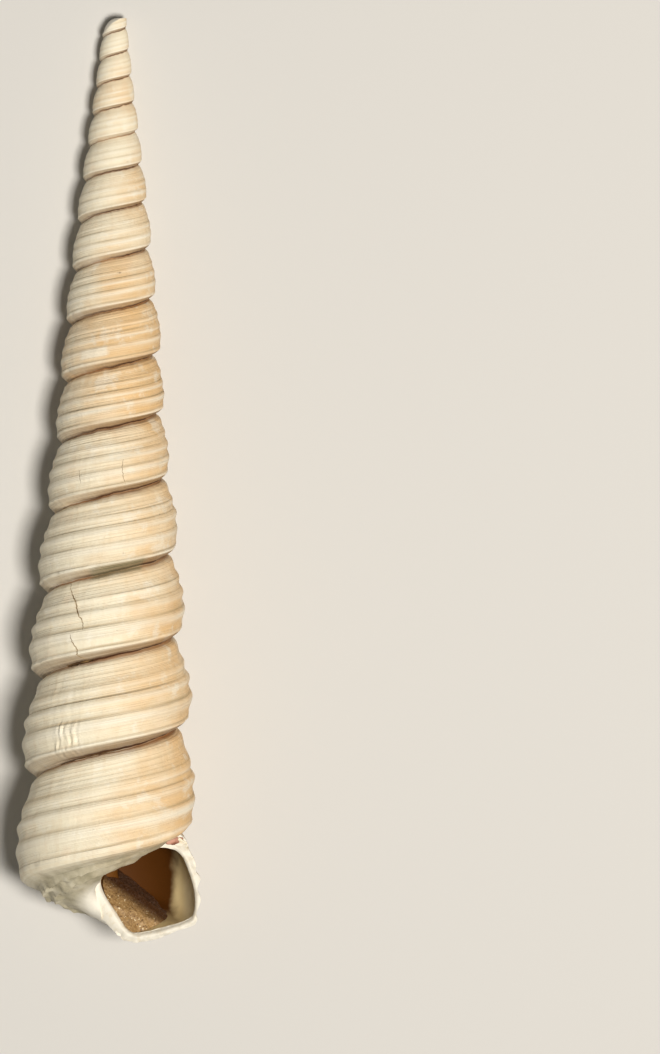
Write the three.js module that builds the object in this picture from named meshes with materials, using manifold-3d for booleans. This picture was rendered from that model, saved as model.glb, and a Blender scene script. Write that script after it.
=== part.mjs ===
// Turritella fossil: a tall, right-handed spire shell that lies on its back, mouth up,
// with a plug of sand left in the mouth. Millimetres, +Z up, tip toward +Y.
//
// Shell frame, before it is laid down: +Y along the axis to the tip, +X to the outer lip,
// +Z out of the mouth. Depths are measured down the axis from the top of the tip.
// A turn is one whole winding: turn 0 starts on the outer lip's side, turn 0.25 faces +Z.

import * as THREE from 'three';
import { ParametricGeometry } from 'three/addons/geometries/ParametricGeometry.js';
import { mergeGeometries, mergeVertices } from 'three/addons/utils/BufferGeometryUtils.js';
import Module from 'manifold-3d';

const wasm = await Module();
wasm.setup();

const { clamp, degToRad, lerp, smoothstep } = THREE.MathUtils;

// ---- Driving dimensions -------------------------------------------------------------

const FIRST_TURN = -5;          // turn of the first entry of WHORLS
const START_TURN = -4.5;        // winding starts here, above the break of the tip
const MOUTH_TURN = 12;          // winding ends here, at the mouth
const COLUMNS = 24;             // facets round one turn
const APEX_DEPTH = -20.8;       // where the sides of the spire would meet

// For each whole turn: depth of its upper suture, radius at its widest spiral cord.
const WHORLS = [
  [-3.1, 1.00], [-1.2, 1.20], [1.0, 1.45], [3.3, 1.75], [5.9, 2.07], [8.7, 2.48],
  [11.7, 2.90], [15.1, 3.43], [19.0, 3.93], [23.8, 4.45], [29.0, 5.05], [34.8, 5.48],
  [40.9, 6.06], [47.6, 6.98], [55.4, 7.85], [63.9, 8.70], [73.3, 9.20], [84.2, 9.85],
  [94.5, 10.1],
];

// Spiral lines of a whorl, upper suture to keel: place between the two sutures, then
// radius as a share of the widest one on a young whorl and on a late whorl.
const CORDS = [
  [0.00, 0.72, 0.72], [0.04, 0.76, 0.80], [0.12, 0.82, 0.85], [0.30, 0.90, 0.905],
  [0.46, 0.95, 0.965], [0.56, 0.97, 0.955], [0.65, 0.98, 1.00], [0.78, 0.99, 0.98],
  [0.88, 1.00, 0.955], [0.94, 0.95, 0.89],
];
const SUTURE_SHARE = 0.72;      // suture radius as a share of the widest one
const YOUNG_TURN = 1;           // whorls keep the young form up to here
const LATE_TURN = 7;            // and have the late form from here

// Columella, the shell's pillar, seen from the mouth: [x, depth] from top to foot.
const COLUMELLA = [[-1.1, 88.8], [-1.2, 90.1], [-0.6, 92.3], [0.5, 94.3], [1.8, 96.0]];
const BASE_ROWS = 5;            // facets from the last whorl's keel to the columella
const BASE_BULGE = 0.35;        // how far the base swells below a straight cone

// Mouth opening: [x, depth] round its inner edge.
const MOUTH = [
  [5.5, 85.9], [7.5, 86.5], [8.6, 88.7], [9.15, 91.1], [8.9, 93.0], [7.2, 93.9],
  [4.2, 94.7], [2.4, 94.6], [0.8, 92.4], [-0.6, 90.0], [0.0, 88.4], [2.6, 87.1],
];
const MOUTH_SEGMENTS = 26;
const HOLLOW_TURNS = 0.42;      // how far the open hollow winds back from the mouth
const HOLLOW_STEPS = 14;
const HOLLOW_PILLAR = 1.4;      // radius of the pillar that the hollow winds round
const PILLAR_TURNS = 0.12;      // the hollow has drawn back to the pillar this far in
const PILLAR_DROP = 2.6;        // on the pillar's side the wall first goes straight down
const PILLAR_SIDE = 6;          // width of that side
const MOUTH_CLEARANCE = 4;      // the hollow's cutter stands this far out of the mouth

const BREAK_SLOPE = degToRad(33);   // slope of the broken tip
const BREAK_DEPTH = 0.6;        // depth of the break on the axis
const TIP_PIT = { radius: 0.2, depth: 1.2, x: 0.35 };

const SAND_GAP = 0.35;          // sand plug to the shell's inner wall
// Three points of the sand's upper surface: two ends of its crest and, low in the mouth, the
// spot where it nearly reaches the edge. Past the crest it falls steeply into the hollow.
const SAND_CREST = [{ x: -0.2, depth: 89.2, height: -1.7 }, { x: 7.1, depth: 93.2, height: -4.3 }];
const SAND_HEAP = { x: 2.4, depth: 94.4, height: -1.0 };
const SAND_FALL = degToRad(75);

const LEAN = degToRad(5.6);     // angle of the axis to the floor
const REST_DEPTH = 0.22;        // depth of the worn flats that it rests on
const BLOCK = 300;              // edge of the blocks that trim a flat

// ---- The surface of the shell -------------------------------------------------------

const growth = new THREE.SplineCurve(WHORLS.map(([depth, radius]) => new THREE.Vector2(depth, radius)));
const pillar = new THREE.SplineCurve(COLUMELLA.map(([x, depth]) => new THREE.Vector2(x, -depth)));
const mouthEdge = new THREE.CatmullRomCurve3(
  MOUTH.map(([x, depth]) => new THREE.Vector3(x, depth, 0)), true);

function whorlAt(turn) {
  const { x: depth, y: radius } = growth.getPoint((turn - FIRST_TURN) / (WHORLS.length - 1));
  return { depth, radius };
}

// Point at a radius and a depth, on the side of the axis that the winding has reached.
function around(turn, radius, depth) {
  const angle = 2 * Math.PI * (0.25 - turn);
  return new THREE.Vector3(radius * Math.sin(angle), -depth, radius * Math.cos(angle));
}

function suturePoint(turn) {
  const { depth, radius } = whorlAt(turn);
  return around(turn, SUTURE_SHARE * radius, depth);
}

// Row 0 is the upper suture, the last row the lower one, which the next turn starts from.
function whorlPoint(turn, row) {
  if (row === CORDS.length) return suturePoint(turn + 1);
  const [place, young, late] = CORDS[row];
  const age = clamp((turn - YOUNG_TURN) / (LATE_TURN - YOUNG_TURN), 0, 1);
  const { depth, radius } = whorlAt(turn);
  return around(turn, radius * lerp(young, late, age), lerp(depth, whorlAt(turn + 1).depth, place));
}

function columellaPoint(turn) {
  const { x, y } = pillar.getPoint(turn - (MOUTH_TURN - 1));
  return new THREE.Vector3(x, y, 0);
}

// Row 0 is the lower suture line of the last turn, the last row the columella.
function basePoint(turn, row) {
  const share = row / BASE_ROWS;
  const point = suturePoint(turn + 1).lerp(columellaPoint(turn), share);
  point.y -= BASE_BULGE * 4 * share * (1 - share);
  return point;
}

// ---- Making solids ------------------------------------------------------------------

// A grid of facets whose point at each whole column and row is given.
function sheet(columns, rows, pointAt) {
  return new ParametricGeometry((u, v, target) => {
    target.copy(pointAt(Math.round(u * columns), Math.round(v * rows)));
  }, columns, rows);
}

// One closed solid from sheets that meet edge to edge.
function closedSolid(sheets) {
  const bare = sheets.map((geometry) => {
    geometry.deleteAttribute('normal');
    geometry.deleteAttribute('uv');
    return geometry;
  });
  const welded = mergeVertices(mergeGeometries(bare));
  const corners = welded.index.array;
  const facets = [];
  for (let i = 0; i < corners.length; i += 3) {
    const [a, b, c] = corners.slice(i, i + 3);
    if (a !== b && b !== c && c !== a) facets.push(a, b, c);
  }
  return new wasm.Manifold(new wasm.Mesh({
    numProp: 3,
    vertProperties: new Float32Array(welded.attributes.position.array),
    triVerts: new Uint32Array(facets),
  }));
}

function geometryOf(solid) {
  const { vertProperties, triVerts } = solid.getMesh();
  const geometry = new THREE.BufferGeometry();
  geometry.setAttribute('position', new THREE.BufferAttribute(vertProperties, 3));
  geometry.setIndex(new THREE.BufferAttribute(triVerts, 1));
  geometry.computeVertexNormals();
  return geometry;
}

// A large block with one face through a point, lying on the side that the normal shows.
function blockBeyond(point, normal) {
  const block = new THREE.BoxGeometry(BLOCK, BLOCK, BLOCK).translate(0, 0, BLOCK / 2);
  const upright = new THREE.Vector3(0, 0, 1);
  block.applyQuaternion(new THREE.Quaternion().setFromUnitVectors(upright, normal));
  return closedSolid([block.translate(point.x, point.y, point.z)]);
}

// ---- Shell --------------------------------------------------------------------------

function spireSheets() {
  const columns = (MOUTH_TURN - START_TURN) * COLUMNS;
  const whorls = sheet(columns, CORDS.length, (column, row) =>
    whorlPoint(START_TURN + column / COLUMNS, row));

  // Closes the first turn, all of which the break takes away.
  const centre = new THREE.Vector3(0, -whorlAt(START_TURN).depth, 0);
  const cap = sheet(COLUMNS, 1, (column, row) =>
    (row === 0 ? centre : suturePoint(START_TURN + column / COLUMNS)));
  const start = sheet(CORDS.length, 1, (column, row) =>
    (row === 0 ? whorlPoint(START_TURN, column) : centre));
  return [whorls, cap, start];
}

function baseSheets() {
  const lastTurn = MOUTH_TURN - 1;
  const base = sheet(BASE_ROWS, COLUMNS, (step, column) =>
    basePoint(lastTurn + column / COLUMNS, BASE_ROWS - step));

  const lip = CORDS.map((_, row) => whorlPoint(MOUTH_TURN, row));
  const underLip = Array.from({ length: BASE_ROWS }, (_, row) => basePoint(MOUTH_TURN, row));
  const columella = Array.from({ length: COLUMNS + 1 }, (_, step) =>
    columellaPoint(MOUTH_TURN - step / COLUMNS));
  const overLip = Array.from({ length: BASE_ROWS - 1 }, (_, row) =>
    basePoint(lastTurn, BASE_ROWS - 1 - row));
  const outline = [...lip, ...underLip, ...columella, ...overLip];
  const face = new THREE.ShapeGeometry(new THREE.Shape(outline.map(({ x, y }) => new THREE.Vector2(x, y))));
  return [base, face];
}

// The hollow behind the mouth, shrunk all round by an inset.
function hollow(inset) {
  const edge = mouthEdge.getPoints(MOUTH_SEGMENTS);
  const xs = edge.map((point) => point.x);
  const leftmost = Math.min(...xs);
  const rightmost = Math.max(...xs);
  const centre = new THREE.Vector3();
  for (const point of edge.slice(1)) centre.addScaledVector(point, 1 / MOUTH_SEGMENTS);

  const pointAt = (corner, step) => {
    const back = HOLLOW_TURNS * (step / HOLLOW_STEPS);
    const turn = MOUTH_TURN - back;
    const scale = (whorlAt(turn).depth - APEX_DEPTH) / (whorlAt(MOUTH_TURN).depth - APEX_DEPTH);
    const taper = Math.sqrt(1 - (back / HOLLOW_TURNS) ** 3);
    const reach = edge[corner].clone().sub(centre);
    reach.setLength(Math.max(reach.length() * taper - inset, 0));
    const { x, y: depth } = centre.clone().add(reach);
    const drawn = HOLLOW_PILLAR + (x - leftmost) * (rightmost - HOLLOW_PILLAR) / (rightmost - leftmost);
    const radius = lerp(x, drawn, smoothstep(back, 0, PILLAR_TURNS));
    const point = around(turn, radius * scale, APEX_DEPTH + (depth - APEX_DEPTH) * scale);
    const pillarSide = 1 - smoothstep(edge[corner].x, 0, PILLAR_SIDE);
    if (step > 0) point.z -= PILLAR_DROP * taper * pillarSide;
    return point;
  };

  const outside = new THREE.Vector3(0, 0, MOUTH_CLEARANCE);
  const lid = new THREE.Vector3(centre.x, -centre.y, MOUTH_CLEARANCE);
  const rows = HOLLOW_STEPS + 2;
  const wall = sheet(MOUTH_SEGMENTS, rows, (corner, row) => {
    if (row === 0) return lid;
    if (row === 1) return pointAt(corner, 0).add(outside);
    return pointAt(corner, row - 2);
  });
  return closedSolid([wall]);
}

function shellSolid() {
  const whole = closedSolid([...spireSheets(), ...baseSheets()]);

  const breakNormal = new THREE.Vector3(-Math.sin(BREAK_SLOPE), Math.cos(BREAK_SLOPE), 0);
  const brokenOff = blockBeyond(new THREE.Vector3(0, -BREAK_DEPTH, 0), breakNormal);
  const pit = closedSolid([
    new THREE.CylinderGeometry(TIP_PIT.radius, TIP_PIT.radius, 2 * TIP_PIT.depth, 8)
      .translate(TIP_PIT.x, 0, 0)]);

  return whole.subtract(hollow(0)).subtract(brokenOff).subtract(pit);
}

function sandSolid() {
  const [left, right, heap] = [...SAND_CREST, SAND_HEAP].map(({ x, depth, height }) =>
    new THREE.Vector3(x, -depth, height));
  const top = new THREE.Plane().setFromCoplanarPoints(left, heap, right);
  const crest = right.clone().sub(left).setZ(0).normalize();
  const across = new THREE.Vector3(-crest.y, crest.x, 0);
  const fall = across.multiplyScalar(Math.sin(SAND_FALL)).setZ(Math.cos(SAND_FALL));
  return hollow(SAND_GAP)
    .subtract(blockBeyond(left, top.normal))
    .subtract(blockBeyond(left.clone().lerp(right, 0.5), fall));
}

// ---- Laying it down -----------------------------------------------------------------

// The floor under the shell, as a direction and a height in the shell frame.
function restOn(solid) {
  const down = new THREE.Vector3(0, Math.sin(LEAN), -Math.cos(LEAN));
  const { vertProperties } = solid.getMesh();
  let lowest = -Infinity;
  const point = new THREE.Vector3();
  for (let i = 0; i < vertProperties.length; i += 3) {
    lowest = Math.max(lowest, point.fromArray(vertProperties, i).dot(down));
  }
  return { down, height: lowest - REST_DEPTH };
}

const rawShell = shellSolid();
const floor = restOn(rawShell);
const worn = blockBeyond(floor.down.clone().multiplyScalar(floor.height), floor.down);

const shell = new THREE.Mesh(
  geometryOf(rawShell.subtract(worn)),
  new THREE.MeshStandardMaterial({ color: 0xe6d9bf, roughness: 0.85, metalness: 0 }));
shell.name = 'shell';

const sand = new THREE.Mesh(
  geometryOf(sandSolid()),
  new THREE.MeshStandardMaterial({ color: 0xa8875c, roughness: 1, metalness: 0 }));
sand.name = 'sand_fill';

const fossil = new THREE.Group();
fossil.add(shell, sand);
fossil.rotation.x = -LEAN;
fossil.updateMatrixWorld(true);

const box = new THREE.Box3().setFromObject(fossil, true);
fossil.position.set(-(box.min.x + box.max.x) / 2, -(box.min.y + box.max.y) / 2, -box.min.z);

export default fossil;
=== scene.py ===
"""Turritella fossil, dressed: the corded, chalky shell and the sand left in its mouth.

The shell is made in its own frame, in millimetres: +Y along the axis to the tip, +X to the outer
lip, +Z out of the mouth, depths measured down the axis from the top of the tip. As the last step
it is laid on its back and turned to metres. A turn is one whole winding: turn 0 starts on the
outer lip's side, and turn 0.25 faces +Z. A place is 0 at a whorl's upper suture, 1 at its lower.
"""

import math
import random

import bmesh
import bpy
import numpy as np
from mathutils import Matrix, Vector, noise


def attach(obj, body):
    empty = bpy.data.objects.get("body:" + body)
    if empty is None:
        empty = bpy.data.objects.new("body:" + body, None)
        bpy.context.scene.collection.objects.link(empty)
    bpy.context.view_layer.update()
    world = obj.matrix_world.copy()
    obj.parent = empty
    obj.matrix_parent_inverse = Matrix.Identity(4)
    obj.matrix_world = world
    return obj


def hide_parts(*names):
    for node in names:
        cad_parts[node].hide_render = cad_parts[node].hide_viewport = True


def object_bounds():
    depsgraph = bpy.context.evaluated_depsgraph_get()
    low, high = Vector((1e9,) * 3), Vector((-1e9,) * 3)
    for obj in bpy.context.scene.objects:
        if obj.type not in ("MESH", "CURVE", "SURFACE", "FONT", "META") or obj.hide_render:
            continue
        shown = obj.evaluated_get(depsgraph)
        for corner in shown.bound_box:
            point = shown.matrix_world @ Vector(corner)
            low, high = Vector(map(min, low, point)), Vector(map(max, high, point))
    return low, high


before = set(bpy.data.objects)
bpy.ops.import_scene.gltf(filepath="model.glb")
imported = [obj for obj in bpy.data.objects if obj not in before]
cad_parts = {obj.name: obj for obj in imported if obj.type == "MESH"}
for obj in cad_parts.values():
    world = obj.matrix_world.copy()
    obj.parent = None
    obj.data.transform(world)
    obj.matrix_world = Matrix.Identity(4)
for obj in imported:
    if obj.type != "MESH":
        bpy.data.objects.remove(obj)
cad_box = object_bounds()

MM = 0.001
TOUCHING = 1e-4        # points of a mesh that is being made are one when no further apart
chance = random.Random(7)

# ---- Sizes of the shell, in millimetres, as the CAD has them -----------------

FIRST_TURN = -5
START_TURN = -4.5
MOUTH_TURN = 12
WHORLS = [             # depth of the upper suture and widest radius, turn by turn
    (-3.1, 1.00), (-1.2, 1.20), (1.0, 1.45), (3.3, 1.75), (5.9, 2.07), (8.7, 2.48),
    (11.7, 2.90), (15.1, 3.43), (19.0, 3.93), (23.8, 4.45), (29.0, 5.05), (34.8, 5.48),
    (40.9, 6.06), (47.6, 6.98), (55.4, 7.85), (63.9, 8.70), (73.3, 9.20), (84.2, 9.85),
    (94.5, 10.1),
]
APEX_DEPTH = -20.8
SUTURE_SHARE = 0.72
COLUMELLA = [(-1.1, 88.8), (-1.2, 90.1), (-0.6, 92.3), (0.5, 94.3), (1.8, 96.0)]
BASE_BULGE = 0.35
MOUTH = [              # x and depth round the inner edge of the opening
    (5.5, 85.9), (7.5, 86.5), (8.6, 88.7), (9.15, 91.1), (8.9, 93.0), (7.2, 93.9),
    (4.2, 94.7), (2.4, 94.6), (0.8, 92.4), (-0.6, 90.0), (0.0, 88.4), (2.6, 87.1),
]
LIP_PART = (0.4, 9.7)    # corners of the opening from where to where its edge is free
HOLLOW_TURNS = 0.42       # how far it goes back behind the mouth
HOLLOW_CLEARANCE = 4.0    # how far what cuts it stands out of the mouth
HOLLOW_PILLAR = 1.4       # radius of the pillar inside, which its wall reaches over PILLAR_TURNS
PILLAR_TURNS = 0.12
PILLAR_DROP = 2.6         # how far the wall on the pillar's side, up to this x, lies back
PILLAR_SIDE = 6
LEAN = math.radians(5.6)
TIP_AXIS = Vector((-0.155, 47.70, 1.65))    # where depth 0 on the axis lies, laid down

# ---- The whorl's form --------------------------------------------------------

# Lines along the winding, from the upper suture to the lower one. Each has its place at some
# turns, then its share of the widest radius. Crests and grooves of the cords take turns.
LINES = [
    ([(0, 0)], [(0, 0.72)]),
    ([(0, 0.10), (6, 0.10), (8, 0.085), (11, 0.08)],                      # shoulder
     [(0, 0.79), (5, 0.84), (7, 0.845), (8, 0.84), (9, 0.828), (10, 0.808), (11, 0.828)]),
    ([(0, 0.19)],                                                         # band below it
     [(0, 0.85), (3, 0.86), (5, 0.877), (8, 0.873), (9, 0.862), (10, 0.838), (11, 0.86)]),
    ([(0, 0.28), (8, 0.283), (10, 0.298), (11, 0.345)],                   # first cord
     [(0, 0.90), (3, 0.90), (5, 0.925), (8, 0.923), (9, 0.919), (10, 0.901), (11, 0.934)]),
    ([(0, 0.34), (8, 0.342), (10, 0.358), (11, 0.395)],
     [(0, 0.915), (3, 0.915), (5, 0.924), (8, 0.920), (9, 0.916), (10, 0.898), (11, 0.932)]),
    ([(0, 0.45), (5, 0.49), (8, 0.455), (10, 0.457), (11, 0.478)],        # second cord
     [(0, 0.955), (5, 0.979), (6, 0.97), (8, 0.986), (9, 0.975), (10, 0.966), (11, 0.985)]),
    ([(0, 0.53), (5, 0.54), (8, 0.545), (10, 0.528), (11, 0.568)],
     [(0, 0.96), (5, 0.972), (6, 0.960), (8, 0.966), (9, 0.957), (10, 0.948), (11, 0.954)]),
    ([(0, 0.68), (5, 0.66), (8, 0.668), (10, 0.66), (11, 0.685)],         # third cord
     [(0, 0.992), (5, 1.0), (8, 1.0), (10, 1.0), (11, 0.988), (12, 0.99)]),
    ([(0, 0.77), (5, 0.785), (8, 0.812), (11, 0.828)],
     [(0, 0.988), (5, 0.985), (7, 0.967), (8, 0.975), (9, 0.960), (10, 0.955), (11, 0.950)]),
    ([(0, 0.885), (5, 0.885), (8, 0.89), (11, 0.885)],                    # keel
     [(0, 1.0), (5, 0.992), (7, 0.975), (8, 0.990), (9, 0.970), (10, 0.964), (11, 0.960)]),
    ([(0, 0.94)], []),                                                    # on the underside
    ([(0, 1)], []),
]
KEEL = 9
UNDERSIDE_LEFT = 0.64      # part of the step from keel to suture that is left on its line
BAND_ROWS = (5, 5, 5, 3, 6, 5, 6, 7, 4, 4, 4)    # facet rows from each line to the next
ROWS = [(band, row / rows) for band, rows in enumerate(BAND_ROWS) for row in range(rows)]
ROWS += [(len(BAND_ROWS) - 1, 1.0)]
LAST_ROW = len(ROWS) - 1
LAST_LINE = len(LINES) - 1
BASE_CORDS = [(0.42, 0.08, 0.10), (0.40, 0.27, 0.30)]    # height, and the part of the base it spans
BASE_ROWS = 24
COLUMNS = 136          # facets round one turn, and half as many on the young whorls
FINE_TURN = 3          # where the facets become fine
FINER_TURNS = (10.285, 10.375)    # where they are finer still, for the healed break

# Where dirt and painted shade darken lines along the cords, and where the crests are paler, partly
# rubbed and partly painted highlight, by line and part of the next band.
DIRT_AND_SHADE_LINES = [(1.6, 0.35), (2.6, 0.55), (3.667, 0.40), (4.333, 0.60), (6.5, 0.75), (8.5, 0.75)]
PALE_LINES = [(3.3, 0.4), (5.1, 0.6), (7.1, 0.8), (9.0, 0.7)]
# How much clay is left in the suture on each side, by part of a turn.
CLAY_SIDES = [(0, 1), (0.25, 0.75), (0.45, 0.45), (0.6, 0.6), (0.75, 0.9), (1, 1)]

# ---- Damage ------------------------------------------------------------------

BREAK_TOP = Vector((0.75, -0.05, 0))     # the tip is worn to a dome, highest here
BREAK_DROOP = (0.10, 2.05)    # how steeply it falls, and out to how far
TIP_PIT, TIP_PIT_SIZE = (0.35, -0.45, -0.30), (0.30, 0.9, 0.24)
POCKET, POCKET_SIZE = (6.95, -85.15, 0), (0.95, 0.40, 0.50)    # where the lip meets the suture
POCKET_TILT = math.radians(12)
POCKET_ROUGHNESS = 0.14

# Marks on single whorls: the turn of their middle, or the turns and places they lie between.
HEALED_TURN, HEALED_PLACES = 10.322, (0.62, 0.93)
HEALED_RIDGE = 0.0135    # turns from one ridge of the healed break to the next
WHITISH_TURNS, WHITISH_PLACES = (5.268, 5.345), (0.64, 0.75)
MOSS_TURNS = (8.165, 8.285)
TANNED_TURN = 5.7

CRACK_DEPTH = 0.10
CRACK_STEPS = 6        # from each point of a crack or gap to the next
GAP_DEPTH = 0.3
PIT_DEPTH = 3.0        # times the radius of the pit
CHIP_WIDTH, CHIP_DEPTH = 0.11, 0.13    # to each side of its middle, and inward
# Cracks, each as its width in millimetres and the turns and places that it runs through.
CRACKS = [
    (0.17, [(9.352, 0.04), (9.340, 0.17), (9.325, 0.27), (9.319, 0.38), (9.305, 0.50), (9.301, 0.62)]),
    (0.14, [(9.328, 0.65), (9.325, 0.74), (9.316, 0.84), (9.314, 0.92), (9.295, 0.975)]),
    (0.10, [(8.825, 0.25), (8.802, 0.28), (8.790, 0.38), (8.787, 0.50), (8.794, 0.60)]),
    (0.12, [(8.812, 0.63), (8.807, 0.75), (8.812, 0.86), (8.800, 0.93)]),
    (0.08, [(10.757, 0.62), (10.762, 0.78), (10.754, 0.93)]),
    (0.06, [(10.737, 0.66), (10.727, 0.76), (10.733, 0.90)]),
    (0.09, [(11.862, 0.48), (11.832, 0.56), (11.820, 0.66), (11.815, 0.80), (11.823, 0.93)]),
    (0.06, [(11.832, 0.56), (11.808, 0.50), (11.800, 0.44)]),
    (0.06, [(11.747, 0.80), (11.741, 0.90), (11.748, 0.97)]),
    (0.07, [(1.710, 0.20), (1.716, 0.45), (1.731, 0.65), (1.737, 0.88)]),
    (0.07, [(7.212, 0.50), (7.215, 0.68), (7.205, 0.88)]),
    (0.06, [(7.333, 0.55), (7.327, 0.75)]),
]
# Gaps along the suture, each as its widest spot in millimetres, then turn by turn its place.
GAPS = [
    (0.30, [(9.285, 0.990), (9.310, 0.993), (9.335, 0.996), (9.360, 0.998)]),
    (0.12, [(10.20, 0.990), (10.25, 0.996), (10.30, 0.990), (10.37, 0.996)]),
    (0.24, [(10.62, 0.994), (10.70, 0.997), (10.78, 0.995), (10.87, 0.998)]),
    (0.20, [(9.60, 0.995), (9.70, 0.998), (9.78, 0.995)]),
    (0.28, [(4.815, 0.97), (4.835, 0.98), (4.855, 0.985)]),
]
# Small dark pits: turn, place, radius in millimetres.
PITS = [
    (1.137, 0.78, 0.21), (1.166, 0.80, 0.12), (4.35, 0.45, 0.08), (4.34, 0.68, 0.07),
    (8.21, 0.06, 0.10), (8.30, 0.95, 0.12), (9.23, 0.70, 0.08), (9.19, 0.33, 0.09),
    (10.58, 0.22, 0.16), (11.27, 0.68, 0.10), (11.20, 0.16, 0.07),
]
PITS += [
    (chance.uniform(3, 11.85), chance.uniform(0.05, 0.88), chance.uniform(0.06, 0.11))
    for _ in range(70)
]
# Shallow chips of the outermost layer, which show white: turn, place, length along the cord.
CHIPS = [(10.57, 0.20, 0.9), (8.05, 0.90, 0.7), (9.93, 0.86, 0.8)]
CHIPS += [
    (chance.uniform(4, 11.9), chance.choice((0.30, 0.47, 0.63, 0.78, 0.90)), chance.uniform(0.3, 0.8))
    for _ in range(46)
]

# ---- Sizes of the sand -------------------------------------------------------

SAND_GAP = 0.06        # between the sand and the wall
# Its slope passes through these three: its edges on both sides of the mouth, and the heap's top.
SAND_LEFT, SAND_RIGHT = Vector((-0.1, -88.5, -0.5)), Vector((6.9, -93.6, -2.4))
SAND_HEAP = Vector((2.4, -94.4, -0.3))
SAND_CREST = Vector((4.2, -91.7, -1.7))     # its top falls away steeply from here
SAND_INWARD = (SAND_RIGHT - SAND_LEFT).cross(Vector((0, 0, -1))).normalized()    # and this way
SAND_FALLS = [(-0.9, 52), (-0.35, 68), (0, 84)]    # each from where, in mm inward, and its tilt
SAND_RELIEF, FALLS_RELIEF = 0.18, 0.16
SAND_SHADED_SPAN = (-34.4, -33.2)    # mm inward, in the part's frame, over which painted shade darkens it
GRAIN_SIZES = (0.045, 0.05, 0.06, 0.07, 0.09)
GRAIN_COUNT = 3400
GRAINS_ABOVE = -8      # no loose grains lie deeper in the shell than this


# ---- Curves and noise --------------------------------------------------------


def spline(values, place):
    """Smooth value at each place along evenly spaced values."""
    values = np.asarray(values, float)
    last = len(values) - 1
    place = np.clip(place, 0, last)
    start = np.minimum(place.astype(int), last - 1)
    part = (place - start)[..., None]
    p0, p1 = values[np.maximum(start - 1, 0)], values[start]
    p2, p3 = values[start + 1], values[np.minimum(start + 2, last)]
    v0, v1 = (p2 - p0) / 2, (p3 - p1) / 2
    cubic = 2 * p1 - 2 * p2 + v0 + v1
    square = 3 * p2 - 3 * p1 - 2 * v0 - v1
    return ((cubic * part + square) * part + v0) * part + p1


def by_turn(knots, turn):
    xs, ys = zip(*knots)
    return np.interp(turn, xs, ys)


def smooth_step(x, low, high):
    s = np.clip((x - low) / (high - low), 0, 1)
    return s * s * (3 - 2 * s)


def window(x, low, high, fade):
    """1 between low and high, and 0 beyond a fade on both sides."""
    return smooth_step(x, low - fade, low) * (1 - smooth_step(x, high, high + fade))


def ripple(*axes):
    """Even noise between about -1 and 1 at each point of up to three axes."""
    shape = np.broadcast(*axes).shape
    columns = [np.broadcast_to(axis, shape).ravel() for axis in axes]
    columns += [np.zeros(columns[0].size)] * (3 - len(columns))
    return np.array([noise.noise(point) for point in zip(*columns)]).reshape(shape)


# ---- The surface of the shell ------------------------------------------------


def whorl_at(turn):
    """Depth of the upper suture and widest radius at each turn."""
    depth, radius = np.moveaxis(spline(WHORLS, np.asarray(turn, float) - FIRST_TURN), -1, 0)
    return depth, radius


def around(turn, radius, depth):
    """Points at a radius and a depth, on the side that the winding has reached."""
    angle = 2 * np.pi * (0.25 - np.mod(turn, 1))
    return np.stack([radius * np.sin(angle), -depth, radius * np.cos(angle)], -1)


def seam_sway(turn):
    """How far the ragged suture strays along the axis from its even line."""
    return 0.10 * ripple(turn * 19, 4.4) + 0.08 * ripple(turn * 53, 2.2)


def suture_points(turn):
    depth, radius = whorl_at(turn)
    return around(turn, SUTURE_SHARE * radius, depth + seam_sway(turn))


def columella_points(turn):
    steps = (turn - MOUTH_TURN + 1) * (len(COLUMELLA) - 1)
    x, depth = np.moveaxis(spline(COLUMELLA, steps), -1, 0)
    return np.stack([x, -depth, np.zeros_like(x)], -1)


def lines_at(turn):
    """Place and share of every line at each turn, the lines along the last axis."""
    places, shares = [], []
    left = UNDERSIDE_LEFT + 0.2 * smooth_step(turn, MOUTH_TURN - 1, MOUTH_TURN - 0.9)
    for number, (place_steps, share_steps) in enumerate(LINES):
        wander = 0.004 * ripple(turn * 2.3, 3.1 * number) + 0.0025 * ripple(turn * 13, 5.7 * number)
        inner = 0 < number < LAST_LINE
        places.append(by_turn(place_steps, turn) + wander * inner)
        if share_steps:
            uneven = 0.0035 * ripple(turn * 4.1, 1.7 * number) + 0.002 * ripple(turn * 19, 2.9 * number)
            shares.append(by_turn(share_steps, turn) + uneven * inner)
    suture = SUTURE_SHARE * whorl_at(turn + 1)[1] / whorl_at(turn)[1]
    shares.append(suture + left * (shares[KEEL] - suture))
    shares.append(suture)
    return np.stack(places, -1), np.stack(shares, -1)


def pick(values, line):
    """Each point's value at its own line, from values at every line."""
    return np.take_along_axis(values, line[..., None], -1)[..., 0]


def on_lines(turn, band, part):
    """Place and share at a part of the way from one line to the next, on a smooth curve."""
    xs, ys = lines_at(turn)
    slopes = np.diff(ys) / np.diff(xs)
    product = slopes[..., :-1] * slopes[..., 1:]
    total = np.where(product > 0, slopes[..., :-1] + slopes[..., 1:], 1)
    bends = np.where(product > 0, 2 * product / total, 0)
    tangents = np.concatenate([slopes[..., :1], bends, slopes[..., -1:]], -1)

    x, y, slope = pick(xs, band), pick(ys, band), pick(slopes, band)
    width, rise = pick(xs, band + 1) - x, pick(ys, band + 1) - y
    start = np.where(band == KEEL, slope, pick(tangents, band))      # the keel keeps its edge
    end = np.where(band == KEEL - 1, slope, pick(tangents, band + 1))
    a = start * width - rise
    b = rise - end * width
    share = y + part * rise + part * (1 - part) * (a * (1 - part) + b * part)
    return x + part * width, share


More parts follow.
